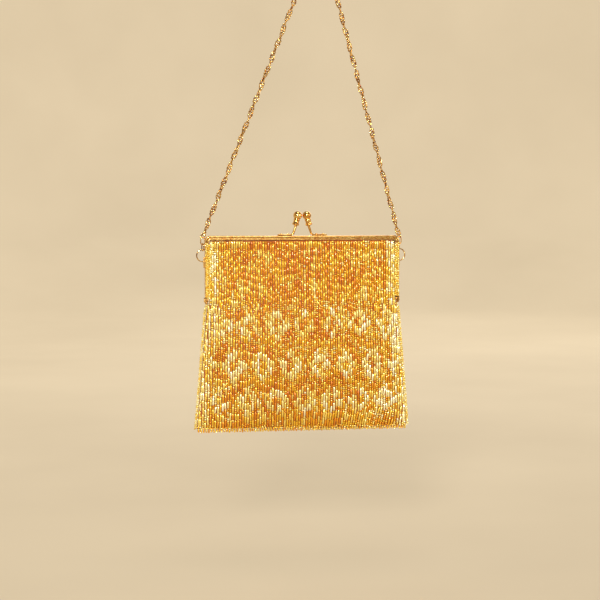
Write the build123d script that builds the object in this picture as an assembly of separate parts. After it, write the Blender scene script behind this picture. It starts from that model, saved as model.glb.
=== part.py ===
"""Beaded evening bag with a kiss-lock frame and a chain handle, in millimetres.

The origin is the top of the chain handle, where a hand or a hook holds it.  +Z is up, the bag
hangs below and its front faces -Y.  Everything is built in the bag's own place first: X = 0 in
the middle of the frame, Y = 0 between the two frame halves, Z = 0 on top of the frame.  PLACE
then moves it below the origin.
"""

import os
from math import pi

from build123d import *

# Frame: two U-shaped halves of folded channel that meet at Y = 0.
FRAME_HALF_WIDTH = 83.0
ARM_LENGTH = 50.0
CHANNEL_DEPTH = 3.4
CHANNEL_NEAR = 0.2
CHANNEL_FAR = 3.4
WALL = 0.6
CORNER_RADIUS = 4.5
INNER_CORNER_RADIUS = 1.5
EDGE_ROUND = 0.4
GROOVE_FROM_EDGE = 1.4
GROOVE_WIDTH = 0.55
GROOVE_DEPTH = 0.25
PAPER_CORD_RADIUS = 0.8

# Hinge: an ear on each arm, the front one outside the back one, and a rivet through both.
HINGE_DROP = 54.0
EAR_RADIUS = 3.4
EAR_THICKNESS = 0.9
EAR_GAP = 0.3
EAR_OVERLAP = 3.0
PIN_RADIUS = 1.1
PIN_RUNNING_GAP = 0.06
PIN_SEAT_GAP = 0.02
PIN_HEAD_RADIUS = 2.1
PIN_HEAD_HEIGHT = 0.85
PIN_TAIL_RADIUS = 1.8

# Clasp: a ball, a bell-shaped collar and a curved arm on a riveted tab, one on each half.
CLASP_CENTRE = -0.3
TAB_INNER = 9.3
TAB_OUTER = 21.3
TAB_WIDTH = 2.9
TAB_THICKNESS = 1.3
ARM_POINTS = ((8.1, 1.2), (7.3, 3.6), (6.2, 6.8), (5.3, 10.0))
ARM_RADII = (0.85, 0.95, 1.1, 1.35)
COLLAR_BASE = (5.5, 9.0)
COLLAR_RADII = (2.35, 1.75)
COLLAR_LIP = 0.7
BALL_CENTRE = (3.9, 17.0)
BALL_RADIUS = 3.7
CLASP_RIVET_RADIUS = 0.75
CLASP_RIVET_SPACING = 6.0

# Strap rings, the lugs that hold them, and the oval links that join them to the chain.
RING_X = 84.3
RING_Y = 4.9
RING_DROP = 16.7
RING_RADIUS = 5.1
RING_WIRE = 0.5
LUG_THICKNESS = 1.0
LUG_HOLE = 1.1
LUG_RADIUS = 2.2
LUG_SAG = 0.5
LUG_PLATE = 9.0
LINK_RADIUS = 1.8
LINK_STRAIGHT = 2.6
LINK_WIRE = 0.45
LINK_GAP = 0.12
LOWER_LINK_TURN = 160.0
UPPER_LINK_TURN = 70.0

# Chain handle: two straight legs over a hand or a hook.  The route is (X, Z) from the origin.
CHAIN_DIAMETER = 4.0
HOLD_FILLET = 11.4
CHAIN_ROUTE = ((-97.7, -227.2), (-9.2, -2.7), (0.7, 1.1), (10.2, -3.7), (70.9, -227.2))
HOLD_OFFSET = 13.4
FRAME_DROP = 226.2

# Cloth: slabs that bulge away from Y = 0, given as (drop, half width, bulge).
CLOTH_TOP = 3.7
SIDE_CLEAR = 79.35
CLOTH_BOTTOM = 163.2
BELOW_HINGE = 58.2
TOP_CORNER_CLEAR = 78.4
FOLD_TOP = 45.0
FOLD_FOOT = 63.2
UPPER_LEVELS = ((CLOTH_TOP, TOP_CORNER_CLEAR, 0.3), (14.0, SIDE_CLEAR, 1.6),
                (28.0, SIDE_CLEAR, 3.2), (FOLD_TOP, SIDE_CLEAR, 4.9))
MIDDLE_LEVELS = ((FOLD_TOP, SIDE_CLEAR, 4.9), (BELOW_HINGE, SIDE_CLEAR, 5.9))
FLARE = 0.085
LOWER_BULGES = ((FOLD_FOOT, 6.3), (80.0, 7.4), (98.0, 8.0), (118.0, 7.5), (140.0, 5.7),
                (155.0, 3.3), (CLOTH_BOTTOM, 1.2))
LOWER_LEVELS = tuple((d, 81.6 + FLARE * (d - FOLD_FOOT), b) for d, b in LOWER_BULGES)
TUCK_OUTER = 2.45
TUCK_INNER = 4.2
TUCK_NEAR = 1.15
TUCK_CORNER = 2.7
TUCK_FAR = 2.6
PANEL_NEAR = 0.75
PANEL_FAR = 2.95
LINING_NEAR = 0.15
LINING_FAR = 0.65
POCKET_NEAR = -0.45
POCKET_FAR = 0.05
POCKET_HALF_WIDTH = 46.0
POCKET_TOP = 66.0
POCKET_BOTTOM = 132.0
PIPING_RADIUS = 1.25
PIPING_GAP = 0.1
BOTTOM_LOOP_RADIUS = 1.6


def ring_top():
    """Height of the middle of the wire at the top of a strap ring."""
    return -RING_DROP + RING_RADIUS


def link_length():
    """Distance between the middles of a link's two end wires."""
    return LINK_STRAIGHT + 2 * LINK_RADIUS


def lower_link_foot():
    """Height of the middle of the wire at the foot of a lower link."""
    return ring_top() - RING_WIRE - LINK_WIRE - LINK_GAP


def upper_link_foot():
    """Height of the middle of the wire at the foot of an upper link."""
    return lower_link_foot() + link_length() - 2 * LINK_WIRE - LINK_GAP


PLACE = Pos(-HOLD_OFFSET, -RING_Y, -FRAME_DROP)


def prism(face, near, far):
    """Extrudes a face drawn in the XZ plane from Y = near to Y = far."""
    return Pos(0, far, 0) * extrude(Plane.XZ * face, far - near)


def arch(inset, drop, corner):
    """Face of the frame's outline moved inwards, down to the given drop."""
    half = FRAME_HALF_WIDTH - inset
    top, foot = -inset, -drop
    body = Pos(0, (top + foot) / 2) * Rectangle(2 * half, top - foot)
    upper = body.vertices().group_by(Axis.Y)[-1]
    return fillet(upper, corner)


def frame_band(outer_inset, inner_inset, outer_corner, inner_corner, drop=ARM_LENGTH):
    """Arch-shaped face between two insets."""
    hole = arch(inner_inset, drop + 1.0, inner_corner)
    return arch(outer_inset, drop, outer_corner) - hole


def side_plate(side, face, inner, outer):
    """A face drawn as (Y, Z) made a plate between two distances from the middle of the frame."""
    plate = extrude(Plane.YZ * face, outer - inner)
    shift = inner if side > 0 else -outer
    return Pos(shift, 0, 0) * plate


def ear(side, half, inner, overlap):
    """Hinge ear: a disc round the pin and a neck up to its arm. half is -1 in front, 1 behind."""
    disc = Pos(0, -HINGE_DROP) * Circle(EAR_RADIUS)
    neck_top = -ARM_LENGTH + overlap
    middle = half * (CHANNEL_NEAR + CHANNEL_FAR) / 2
    neck = Pos(middle, (neck_top - HINGE_DROP) / 2) * Rectangle(
        CHANNEL_FAR - CHANNEL_NEAR, neck_top + HINGE_DROP)
    return side_plate(side, disc + neck, inner, inner + EAR_THICKNESS)


def rod_x(radius, inner, outer, side, height, depth=0.0):
    """Cylinder along X on one side of the bag."""
    middle = side * (inner + outer) / 2
    return Pos(middle, depth, height) * Rot(0, 90, 0) * Cylinder(radius, outer - inner)


def frame_half(half):
    """One folded channel with its grooves and hinge ears. half is -1 in front, 1 behind."""
    band = prism(frame_band(0, CHANNEL_DEPTH, CORNER_RADIUS, INNER_CORNER_RADIUS),
                 CHANNEL_NEAR, CHANNEL_FAR)
    far_edges = band.edges().filter_by_position(Axis.Y, CHANNEL_FAR, CHANNEL_FAR)
    outline = [e for e in far_edges if e.center().Z > -ARM_LENGTH + EDGE_ROUND
               and not on_inner_outline(e)]
    band = fillet(outline, EDGE_ROUND)
    slot = prism(frame_band(WALL, CHANNEL_DEPTH + 1.0, CORNER_RADIUS - WALL, INNER_CORNER_RADIUS),
                 CHANNEL_NEAR + WALL, CHANNEL_FAR - WALL)
    groove = prism(
        frame_band(GROOVE_FROM_EDGE, GROOVE_FROM_EDGE + GROOVE_WIDTH,
                   CORNER_RADIUS - GROOVE_FROM_EDGE,
                   CORNER_RADIUS - GROOVE_FROM_EDGE - GROOVE_WIDTH),
        CHANNEL_FAR - GROOVE_DEPTH, CHANNEL_FAR + 1.0)
    channel = band - slot - groove
    if half < 0:
        channel = mirror(channel, Plane.XZ)
    outer_ear = FRAME_HALF_WIDTH - EAR_THICKNESS
    inner_ear = outer_ear - EAR_GAP - EAR_THICKNESS
    ear_from = outer_ear if half < 0 else inner_ear
    hole = PIN_RADIUS + (PIN_RUNNING_GAP if half < 0 else PIN_SEAT_GAP)
    for side in (-1, 1):
        channel += ear(side, half, ear_from, EAR_OVERLAP)
        channel -= rod_x(hole, inner_ear - 2, FRAME_HALF_WIDTH + 2, side, -HINGE_DROP)
    return channel


def on_inner_outline(edge):
    """True for an edge on the frame's inner outline or at the foot of an arm."""
    centre = edge.center()
    inner = FRAME_HALF_WIDTH - CHANNEL_DEPTH - 0.01
    return abs(centre.X) <= inner and centre.Z <= -CHANNEL_DEPTH + 0.01


def paper_cord(half):
    """Cord pressed into a channel to hold the cloth's edge."""
    inset = WALL + PAPER_CORD_RADIUS + 0.1
    side = FRAME_HALF_WIDTH - inset
    depth = half * (CHANNEL_NEAR + CHANNEL_FAR) / 2
    foot = -ARM_LENGTH + EAR_OVERLAP + 1.0
    corners = [(-side, depth, foot), (-side, depth, -inset), (side, depth, -inset),
               (side, depth, foot)]
    path = FilletPolyline(*corners, radius=CORNER_RADIUS - WALL - 0.3)
    section = Plane(origin=corners[0], z_dir=(0, 0, 1)) * Circle(PAPER_CORD_RADIUS)
    return sweep(section, path=path)


def hinge_pin(side):
    """Rivet through both ears, with a domed head outside and a flat tail inside."""
    outer = FRAME_HALF_WIDTH
    inner = outer - 2 * EAR_THICKNESS - EAR_GAP
    shaft = rod_x(PIN_RADIUS, inner - PIN_HEAD_HEIGHT, outer + PIN_HEAD_HEIGHT, side, -HINGE_DROP)
    head_from = outer + 0.05
    head = rod_x(PIN_HEAD_RADIUS, head_from, head_from + PIN_HEAD_HEIGHT, side, -HINGE_DROP)
    rim = head.edges().filter_by(GeomType.CIRCLE).sort_by(Axis.X)[-1 if side > 0 else 0]
    head = fillet(rim, PIN_HEAD_HEIGHT * 0.7)
    tail = rod_x(PIN_TAIL_RADIUS, inner - PIN_HEAD_HEIGHT, inner - 0.05, side, -HINGE_DROP)
    return shaft + head + tail


def mirrored(side, point):
    """A clasp point (distance from the clasp's middle, height) as (X, Z)."""
    return CLASP_CENTRE + side * point[0], point[1]


def clasp_depth(half, height):
    """Depth of the clasp's middle line, which leans from its frame half to Y = 0 at the ball."""
    start = half * (CHANNEL_NEAR + CHANNEL_FAR) / 2
    share = min(1.0, max(0.0, (height - TAB_THICKNESS) / (BALL_CENTRE[1] - TAB_THICKNESS)))
    return start * (1 - share)


def clasp_tab(side, half):
    """Flat foot riveted to the top of the frame."""
    middle = CLASP_CENTRE + side * (TAB_INNER + TAB_OUTER) / 2
    depth = clasp_depth(half, 0)
    plate = Pos(middle, depth, TAB_THICKNESS / 2) * Box(
        TAB_OUTER - TAB_INNER, TAB_WIDTH, TAB_THICKNESS)
    plate = fillet(plate.edges().filter_by(Axis.Z), 0.8)
    plate = fillet(plate.faces().sort_by(Axis.Z)[-1].edges(), 0.3)
    for x in clasp_rivet_places(side):
        plate -= Pos(x, depth, 0) * Cylinder(CLASP_RIVET_RADIUS, 4 * TAB_THICKNESS)
    return plate


def clasp_rivet_places(side):
    middle = CLASP_CENTRE + side * (TAB_INNER + TAB_OUTER) / 2
    return [middle - CLASP_RIVET_SPACING / 2, middle + CLASP_RIVET_SPACING / 2]


def clasp_rivets(side, half):
    """Two rivets through a tab, with domed heads, ending on top of the frame."""
    depth = clasp_depth(half, 0)
    rivets = []
    for x in clasp_rivet_places(side):
        shank = Pos(x, depth, TAB_THICKNESS / 2) * Cylinder(CLASP_RIVET_RADIUS - 0.02,
                                                             TAB_THICKNESS)
        dome = Pos(x, depth, TAB_THICKNESS) * Sphere(1.05)
        cap = Pos(x, depth, TAB_THICKNESS + 1.0) * Box(4, 4, 2)
        squashed = dome & (Pos(x, depth, TAB_THICKNESS + 0.3) * Box(4, 4, 0.6)) & cap
        rivets.append(shank + squashed)
    return Compound(children=rivets)


def clasp_arm(side, half):
    """Curved arm that thickens from its foot to the collar."""
    places = []
    for point in ARM_POINTS:
        x, z = mirrored(side, point)
        places.append(Vector(x, clasp_depth(half, z), z))
    sections = []
    for i, place in enumerate(places):
        before, after = places[max(i - 1, 0)], places[min(i + 1, len(places) - 1)]
        plane = Plane(origin=place, z_dir=(after - before).normalized(), x_dir=(0, 1, 0))
        sections.append(plane * Circle(ARM_RADII[i]))
    return loft(sections)


def collar_plane(side, half):
    x, z = mirrored(side, COLLAR_BASE)
    base = Vector(x, clasp_depth(half, z), z)
    bx, bz = mirrored(side, BALL_CENTRE)
    ball = Vector(bx, clasp_depth(half, bz), bz)
    return Plane(origin=base, z_dir=(ball - base).normalized(), x_dir=(0, 1, 0)), \
        (ball - base).length


def clasp_collar(side, half):
    """Bell under the ball, with a lip, a waist and a ring, hollowed for the arm's end."""
    plane, reach = collar_plane(side, half)
    low, high = COLLAR_RADII
    top = reach - BALL_RADIUS * 0.93
    with BuildPart() as bell:
        with BuildSketch(Plane.XZ):
            with BuildLine():
                Polyline((0, 0), (low, 0), (low, COLLAR_LIP))
                Spline((low, COLLAR_LIP), (high * 0.86, top * 0.55), (high * 0.9, top * 0.72))
                Polyline((high * 0.9, top * 0.72), (high, top * 0.74), (high, top * 0.86),
                         (high * 0.8, top * 0.9), (high * 0.8, top), (0, top), (0, 0))
            make_face()
        revolve(axis=Axis.Z)
    collar = plane.location * bell.part
    ball = Pos(*clasp_ball_centre(side, half)) * Sphere(BALL_RADIUS + 0.02)
    return collar - clasp_arm(side, half) - ball


def clasp_ball_centre(side, half):
    x, z = mirrored(side, BALL_CENTRE)
    return x, clasp_depth(half, z), z


def clasp_ball(side, half):
    return Pos(*clasp_ball_centre(side, half)) * Sphere(BALL_RADIUS)


def loop_link(radius, straight, wire):
    """Oval of round wire in the XZ plane, its lowest wire's middle at the origin."""
    parts = []
    for z, up in ((radius, -1), (radius + straight, 1)):
        ring = Pos(0, 0, z) * Rot(90, 0, 0) * Torus(radius, wire)
        keep = Pos(0, 0, z + up * radius) * Box(4 * radius, 4 * radius, 2 * radius)
        parts.append(ring & keep)
    if straight > 0:
        for x in (-radius, radius):
            parts.append(Pos(x, 0, radius + straight / 2) * Cylinder(wire, straight))
    return parts[0].fuse(*parts[1:])


def strap_ring(side):
    return Pos(side * RING_X, RING_Y, -RING_DROP) * Rot(90, 0, 0) * Torus(RING_RADIUS, RING_WIRE)


def oval_link(side, foot, turn):
    """A link turned about the vertical, the same on both sides but mirrored."""
    link = loop_link(LINK_RADIUS, LINK_STRAIGHT, LINK_WIRE)
    return Pos(side * RING_X, RING_Y, foot) * Rot(0, 0, side * turn + 90) * link


def ring_lug(side):
    """Tab on the outside of the back arm, with the hole that the strap ring passes through."""
    hole_z = -RING_DROP - RING_RADIUS - LUG_SAG
    root_y = (CHANNEL_NEAR + CHANNEL_FAR) / 2
    rim = Pos(RING_Y, hole_z) * Circle(LUG_RADIUS)
    bridge = Pos((root_y + RING_Y) / 2, hole_z) * Rectangle(RING_Y - root_y, 2 * LUG_RADIUS)
    foot = Pos(root_y, hole_z) * Rectangle(CHANNEL_FAR - CHANNEL_NEAR - 2 * EDGE_ROUND, LUG_PLATE)
    face = fillet((rim + bridge + foot).vertices().group_by(Axis.X)[0], 0.6)
    face -= Pos(RING_Y, hole_z) * Circle(LUG_HOLE)
    return side_plate(side, face, FRAME_HALF_WIDTH, FRAME_HALF_WIDTH + LUG_THICKNESS)


def chain_tube():
    """Plain tube along the chain: two straight legs and the bend over the hold point."""
    corners = [Vector(x, 0, z) for x, z in CHAIN_ROUTE]
    radii = [HOLD_FILLET] * (len(corners) - 2)
    print("chain corner radii", radii)
    path = FilletPolyline(*corners, radius=radii)
    start = Plane(origin=path @ 0, z_dir=path % 0)
    tube = sweep(start * Circle(CHAIN_DIAMETER / 2), path=path)
    area = pi * (CHAIN_DIAMETER / 2) ** 2
    print("chain length", round(path.length, 1), "volume share", tube.volume / area / path.length)
    return PLACE.inverse() * tube


def slab_section(drop, half_width, bulge, near, far):
    """Curved strip at one height, bulging from near and far towards the back."""
    with BuildSketch(Plane.XY.offset(-drop)) as strip:
        with BuildLine():
            ThreePointArc((-half_width, near), (0, near + bulge), (half_width, near))
            Line((half_width, near), (half_width, far))
            ThreePointArc((half_width, far), (0, far + bulge), (-half_width, far))
            Line((-half_width, far), (-half_width, near))
        make_face()
    return strip.sketch


def cloth(levels, near, far, half):
    """Slab of cloth through the given levels. half is -1 in front, 1 behind."""
    slab = loft([slab_section(*level, near, far) for level in levels], ruled=True)
    return mirror(slab, Plane.XZ) if half < 0 else slab


def tucked_edge(half):
    """Edge of the panel that is pressed into the channel under the paper cord."""
    band = frame_band(TUCK_OUTER, TUCK_INNER, TUCK_CORNER, TUCK_CORNER - TUCK_INNER + TUCK_OUTER,
                      FOLD_TOP - 0.5)
    edge = prism(band, TUCK_NEAR, TUCK_FAR)
    return mirror(edge, Plane.XZ) if half < 0 else edge


def pocket():
    """Flat slip pocket on the back lining."""
    height = POCKET_BOTTOM - POCKET_TOP
    window = Pos(0, 0, -(POCKET_TOP + POCKET_BOTTOM) / 2) * Box(
        2 * POCKET_HALF_WIDTH, 100, height)
    return cloth(LOWER_LEVELS, POCKET_NEAR, POCKET_FAR, 1) & window


def side_piping(side):
    """Beaded cord down the side seam, from below the hinge to the bottom."""
    offset = PIPING_RADIUS + PIPING_GAP
    levels = (LOWER_LEVELS[0], LOWER_LEVELS[-1])
    corners = [(side * (width + offset), 0, -drop) for drop, width, _ in levels]
    path = Line(*corners)
    start = Plane(origin=path @ 0, z_dir=path % 0)
    return sweep(start * Circle(PIPING_RADIUS), path=path)


def bottom_edging():
    """Row of bead loops along the bottom seam, as one rod."""
    half = LOWER_LEVELS[-1][1]
    height = -CLOTH_BOTTOM - PIPING_GAP - BOTTOM_LOOP_RADIUS
    return Pos(0, 0, height) * Rot(0, 90, 0) * Cylinder(BOTTOM_LOOP_RADIUS, 2 * half)


def clasp_nodes():
    """The front clasp stands on the left and the back clasp on the right."""
    nodes = {}
    for name, side, half in (("front", -1, -1), ("back", 1, 1)):
        nodes[f"{name}_clasp_tab"] = clasp_tab(side, half)
        nodes[f"{name}_clasp_rivets"] = clasp_rivets(side, half)
        arm = clasp_arm(side, half)
        nodes[f"{name}_clasp_arm"] = arm - Pos(*clasp_ball_centre(side, half)) * Sphere(
            BALL_RADIUS)
        nodes[f"{name}_clasp_collar"] = clasp_collar(side, half)
        nodes[f"{name}_clasp_ball"] = clasp_ball(side, half)
    return nodes


def handle_nodes():
    nodes = {"handle_chain": chain_tube()}
    for name, side in (("left", -1), ("right", 1)):
        nodes[f"{name}_lower_link"] = oval_link(side, lower_link_foot(), LOWER_LINK_TURN)
        nodes[f"{name}_upper_link"] = oval_link(side, upper_link_foot(), UPPER_LINK_TURN)
        nodes[f"{name}_strap_ring"] = strap_ring(side)
        nodes[f"{name}_ring_lug"] = ring_lug(side)
        nodes[f"{name}_hinge_pin"] = hinge_pin(side)
        nodes[f"{name}_side_piping"] = side_piping(side)
    return nodes


def cloth_nodes():
    """Beaded panels and lining. The front ones are cut at the hinge, where the cloth folds."""
    whole_back = UPPER_LEVELS + MIDDLE_LEVELS[1:] + LOWER_LEVELS
    nodes = {
        "back_beaded_panel": cloth(whole_back, PANEL_NEAR, PANEL_FAR, 1) + tucked_edge(1),
        "back_lining": cloth(whole_back, LINING_NEAR, LINING_FAR, 1),
        "slip_pocket": pocket(),
        "bottom_edging": bottom_edging(),
    }
    for name, near, far in (("beaded_panel", PANEL_NEAR, PANEL_FAR),
                            ("lining", LINING_NEAR, LINING_FAR)):
        nodes[f"front_{name}_upper"] = cloth(UPPER_LEVELS, near, far, -1)
        nodes[f"front_{name}_fold"] = cloth(MIDDLE_LEVELS + LOWER_LEVELS[:1], near, far, -1)
        nodes[f"front_{name}_lower"] = cloth(LOWER_LEVELS, near, far, -1)
    nodes["front_beaded_panel_upper"] += tucked_edge(-1)
    return nodes


def frame_nodes():
    nodes = {}
    for name, half in (("front", -1), ("back", 1)):
        nodes[f"{name}_frame"] = frame_half(half)
        nodes[f"{name}_paper_cord"] = paper_cord(half)
    return nodes


def main():
    os.makedirs("parts", exist_ok=True)
    nodes = {**frame_nodes(), **clasp_nodes(), **handle_nodes(), **cloth_nodes()}
    for name, shape in nodes.items():
        export_step(PLACE * shape, f"parts/{name}.step")


main()
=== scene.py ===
"""Looks of a beaded evening bag with a kiss-lock frame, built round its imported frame.

Lengths are in metres.  Sizes that belong to the bag are counted from the middle of the frame's
top: across to the right, down from the top, and out from the plane where the two halves meet.
"""

import logging
import math
import random
from dataclasses import dataclass, field
from enum import Enum
from typing import Callable, Iterable, Sequence

import bmesh
import bpy
from mathutils import Matrix, Vector, noise


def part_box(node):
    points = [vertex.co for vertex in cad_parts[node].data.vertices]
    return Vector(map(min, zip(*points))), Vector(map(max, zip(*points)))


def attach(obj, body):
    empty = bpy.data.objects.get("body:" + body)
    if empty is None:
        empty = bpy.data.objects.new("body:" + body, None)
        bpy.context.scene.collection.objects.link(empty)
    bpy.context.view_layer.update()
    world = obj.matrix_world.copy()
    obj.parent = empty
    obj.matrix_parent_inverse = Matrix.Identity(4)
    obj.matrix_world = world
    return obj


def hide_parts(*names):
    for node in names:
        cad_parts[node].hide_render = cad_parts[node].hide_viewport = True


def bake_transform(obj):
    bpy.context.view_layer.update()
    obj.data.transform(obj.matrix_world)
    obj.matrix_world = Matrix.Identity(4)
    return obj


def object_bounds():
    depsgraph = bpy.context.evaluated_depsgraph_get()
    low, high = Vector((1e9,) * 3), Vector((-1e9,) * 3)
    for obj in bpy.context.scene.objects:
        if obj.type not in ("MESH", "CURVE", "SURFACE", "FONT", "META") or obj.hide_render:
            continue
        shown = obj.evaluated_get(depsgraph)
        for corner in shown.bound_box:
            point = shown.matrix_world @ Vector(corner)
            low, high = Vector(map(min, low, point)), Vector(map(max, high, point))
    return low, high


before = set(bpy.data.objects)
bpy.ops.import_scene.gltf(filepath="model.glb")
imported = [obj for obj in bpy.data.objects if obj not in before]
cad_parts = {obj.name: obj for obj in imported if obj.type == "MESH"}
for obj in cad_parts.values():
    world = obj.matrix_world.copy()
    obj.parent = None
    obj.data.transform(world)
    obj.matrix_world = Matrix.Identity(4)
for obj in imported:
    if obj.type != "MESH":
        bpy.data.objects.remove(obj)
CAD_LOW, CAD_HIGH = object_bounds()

MM = 0.001
LOG = logging.getLogger("evening_bag")
Colour = tuple[float, float, float]


def srgb(red: int, green: int, blue: int) -> Colour:
    """Returns the linear colour of three screen values from 0 to 255."""
    def linear(value: int) -> float:
        """Returns one value made linear."""
        share = value / 255
        return share / 12.92 if share <= 0.04045 else ((share + 0.055) / 1.055) ** 2.4
    return linear(red), linear(green), linear(blue)


class Side(Enum):
    """The two faces of the bag, with the sign of their Y."""

    FRONT = -1
    BACK = 1


class Zone(Enum):
    """Fields of the bead pattern."""

    YOKE = "yoke"
    OUTLINE = "outline"
    DIAMOND = "diamond"
    HEM = "hem"
    EDGE = "edge"


# ---------------------------------------------------------------------------------------------
# Finishes
# ---------------------------------------------------------------------------------------------


class NodeBench:
    """A new material with short ways to add and join its nodes."""

    def __init__(self, name: str) -> None:
        """Starts a material.

        Args:
            name: The material's name.
        """
        self.material = bpy.data.materials.new(name)
        self.material.use_nodes = True
        self.nodes = self.material.node_tree.nodes
        self.links = self.material.node_tree.links
        self.shader = self.nodes["Principled BSDF"]
        self.place = self.nodes.new("ShaderNodeTexCoord").outputs["Object"]

    def set(self, **values: float | Sequence[float]) -> None:
        """Sets plain values on the shader's own sockets, with _ for each space in a name."""
        for name, value in values.items():
            self.shader.inputs[name.replace("_", " ")].default_value = value

    def stretched(self, scale: Sequence[float]) -> bpy.types.NodeSocket:
        """Returns the object's coordinates, stretched by a scale along each axis."""
        mapping = self.nodes.new("ShaderNodeMapping")
        mapping.inputs["Scale"].default_value = scale
        self.links.new(self.place, mapping.inputs["Vector"])
        return mapping.outputs["Vector"]

    def noise(self, scale: float, detail: float = 3.0,
              vector: bpy.types.NodeSocket | None = None) -> bpy.types.NodeSocket:
        """Returns a noise pattern's value.

        Args:
            scale: Features in a metre.
            detail: Octaves of finer noise.
            vector: Coordinates, or the object's own.

        Returns:
            The noise node's value socket.
        """
        texture = self.nodes.new("ShaderNodeTexNoise")
        texture.inputs["Scale"].default_value = scale
        texture.inputs["Detail"].default_value = detail
        self.links.new(vector or self.place, texture.inputs["Vector"])
        return texture.outputs["Fac"]

    def ramp(self, value: bpy.types.NodeSocket,
             stops: Sequence[tuple[float, Colour]]) -> bpy.types.NodeSocket:
        """Returns colours along a value.

        Args:
            value: The socket that picks the colour.
            stops: Positions from 0 to 1 with their colours.

        Returns:
            The ramp's colour socket.
        """
        ramp = self.nodes.new("ShaderNodeValToRGB")
        elements = ramp.color_ramp.elements
        while len(elements) < len(stops):
            elements.new(0.5)
        for element, (position, colour) in zip(elements, stops):
            element.position = position
            element.color = (*colour, 1.0)
        self.links.new(value, ramp.inputs["Fac"])
        return ramp.outputs["Color"]

    def spread(self, value: bpy.types.NodeSocket, low: float,
               high: float) -> bpy.types.NodeSocket:
        """Returns a value from 0 to 1 spread between low and high."""
        spread = self.nodes.new("ShaderNodeMapRange")
        spread.inputs["To Min"].default_value = low
        spread.inputs["To Max"].default_value = high
        self.links.new(value, spread.inputs["Value"])
        return spread.outputs["Result"]

    def count(self, operation: str,
              *values: float | bpy.types.NodeSocket) -> bpy.types.NodeSocket:
        """Returns what an arithmetic operation makes of one or two values."""
        node = self.nodes.new("ShaderNodeMath")
        node.operation = operation
        for socket, value in zip(node.inputs, values):
            if isinstance(value, bpy.types.NodeSocket):
                self.links.new(value, socket)
            else:
                socket.default_value = value
        return node.outputs[0]

    def attribute(self, name: str) -> bpy.types.NodeSocket:
        """Returns the value of one of the piece's own attributes."""
        reader = self.nodes.new("ShaderNodeAttribute")
        reader.attribute_name = name
        return reader.outputs["Fac"]

    def emboss(self, height: bpy.types.NodeSocket, strength: float, depth: float) -> None:
        """Raises the surface by a height pattern.

        Args:
            height: The pattern.
            strength: Share of the effect.
            depth: Height in metres.
        """
        bump = self.nodes.new("ShaderNodeBump")
        bump.inputs["Strength"].default_value = strength
        bump.inputs["Distance"].default_value = depth
        self.links.new(height, bump.inputs["Height"])
        self.links.new(bump.outputs["Normal"], self.shader.inputs["Normal"])

    def feed(self, socket: str, value: bpy.types.NodeSocket) -> None:
        """Joins a pattern to one of the shader's sockets."""
        self.links.new(value, self.shader.inputs[socket])


@dataclass(frozen=True)
class PlatedMetal:
    """Thin gold plate with fine rubbing marks and dull patches, which are plating tone on most
    parts and painted reflection of dark surroundings on the chain and clasp.
    """

    name: str
    bright: Colour
    dull_and_reflection: Colour
    smooth: float = 0.14
    worn: float = 0.34
    patch_scale: float = 260.0

    def material(self) -> bpy.types.Material:
        """Returns the material."""
        return self.bench().material

    def bench(self) -> NodeBench:
        """Returns the finish on its bench, for more work."""
        bench = NodeBench(self.name)
        patches = bench.noise(self.patch_scale, 4.0)
        # Dull patches: painted reflection of dark surroundings on the chain and clasp, plating
        # tone elsewhere.
        bench.feed("Base Color", bench.ramp(patches, [(0.36, self.dull_and_reflection), (0.62, self.bright)]))
        bench.feed("Roughness", bench.spread(bench.noise(900.0, 5.0), self.smooth, self.worn))
        rubbed = bench.noise(2600.0, 2.0, bench.stretched((1.0, 1.0, 0.15)))
        bench.emboss(rubbed, 0.12, 0.00004)
        bench.set(Metallic=1.0)
        return bench


@dataclass(frozen=True)
class GrooveShadedMetal:
    """Gold plate with painted shade: dark lines that run round the frame at set depths from its
    edge, as in shaded grooves.

    Lines are (depth, width) from the outer edge; corner is the edge's radius.
    """

    plate: PlatedMetal
    groove_shade: Colour
    lines: tuple[tuple[float, float], ...] = (
        (0.3 * MM, 0.26 * MM), (1.6 * MM, 0.4 * MM), (2.65 * MM, 0.24 * MM), (3.72 * MM, 0.3 * MM))
    corner: float = 4.5 * MM

    def material(self, middle: float, half_width: float, top: float) -> bpy.types.Material:
        """Returns the material.

        Args:
            middle: The frame's middle across.
            half_width: From there to its outer edge.
            top: The height of its top edge.

        Returns:
            The engraved plate.
        """
        bench = self.plate.bench()
        split = bench.nodes.new("ShaderNodeSeparateXYZ")
        bench.links.new(bench.place, split.inputs[0])
        sideways = bench.count("ABSOLUTE", bench.count("SUBTRACT", split.outputs["X"], middle))
        over = bench.count("SUBTRACT", sideways, half_width - self.corner)
        above = bench.count("SUBTRACT", split.outputs["Z"], top - self.corner)
        beyond = [bench.count("POWER", bench.count("MAXIMUM", way, 0.0), 2.0)
                  for way in (over, above)]
        round_part = bench.count("SQRT", bench.count("ADD", *beyond))
        flat_part = bench.count("MINIMUM", bench.count("MAXIMUM", over, above), 0.0)
        depth = bench.count("SUBTRACT", self.corner, bench.count("ADD", round_part, flat_part))
        colour = bench.shader.inputs["Base Color"].links[0].from_socket
        # Each line mixes in the painted groove shade colour.
        for place, width in self.lines:
            away = bench.count("ABSOLUTE", bench.count("SUBTRACT", depth, place))
            share = bench.nodes.new("ShaderNodeMapRange")
            share.inputs["From Min"].default_value = width / 2
            share.inputs["From Max"].default_value = width
            share.inputs["To Min"].default_value = 0.85
            share.inputs["To Max"].default_value = 0.0
            bench.links.new(away, share.inputs["Value"])
            mix = bench.nodes.new("ShaderNodeMix")
            mix.data_type = "RGBA"
            bench.links.new(share.outputs["Result"], mix.inputs["Factor"])
            bench.links.new(colour, mix.inputs["A"])
            mix.inputs["B"].default_value = (*self.groove_shade, 1.0)
            colour = mix.outputs["Result"]
        bench.feed("Base Color", colour)
        return bench.material


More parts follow.
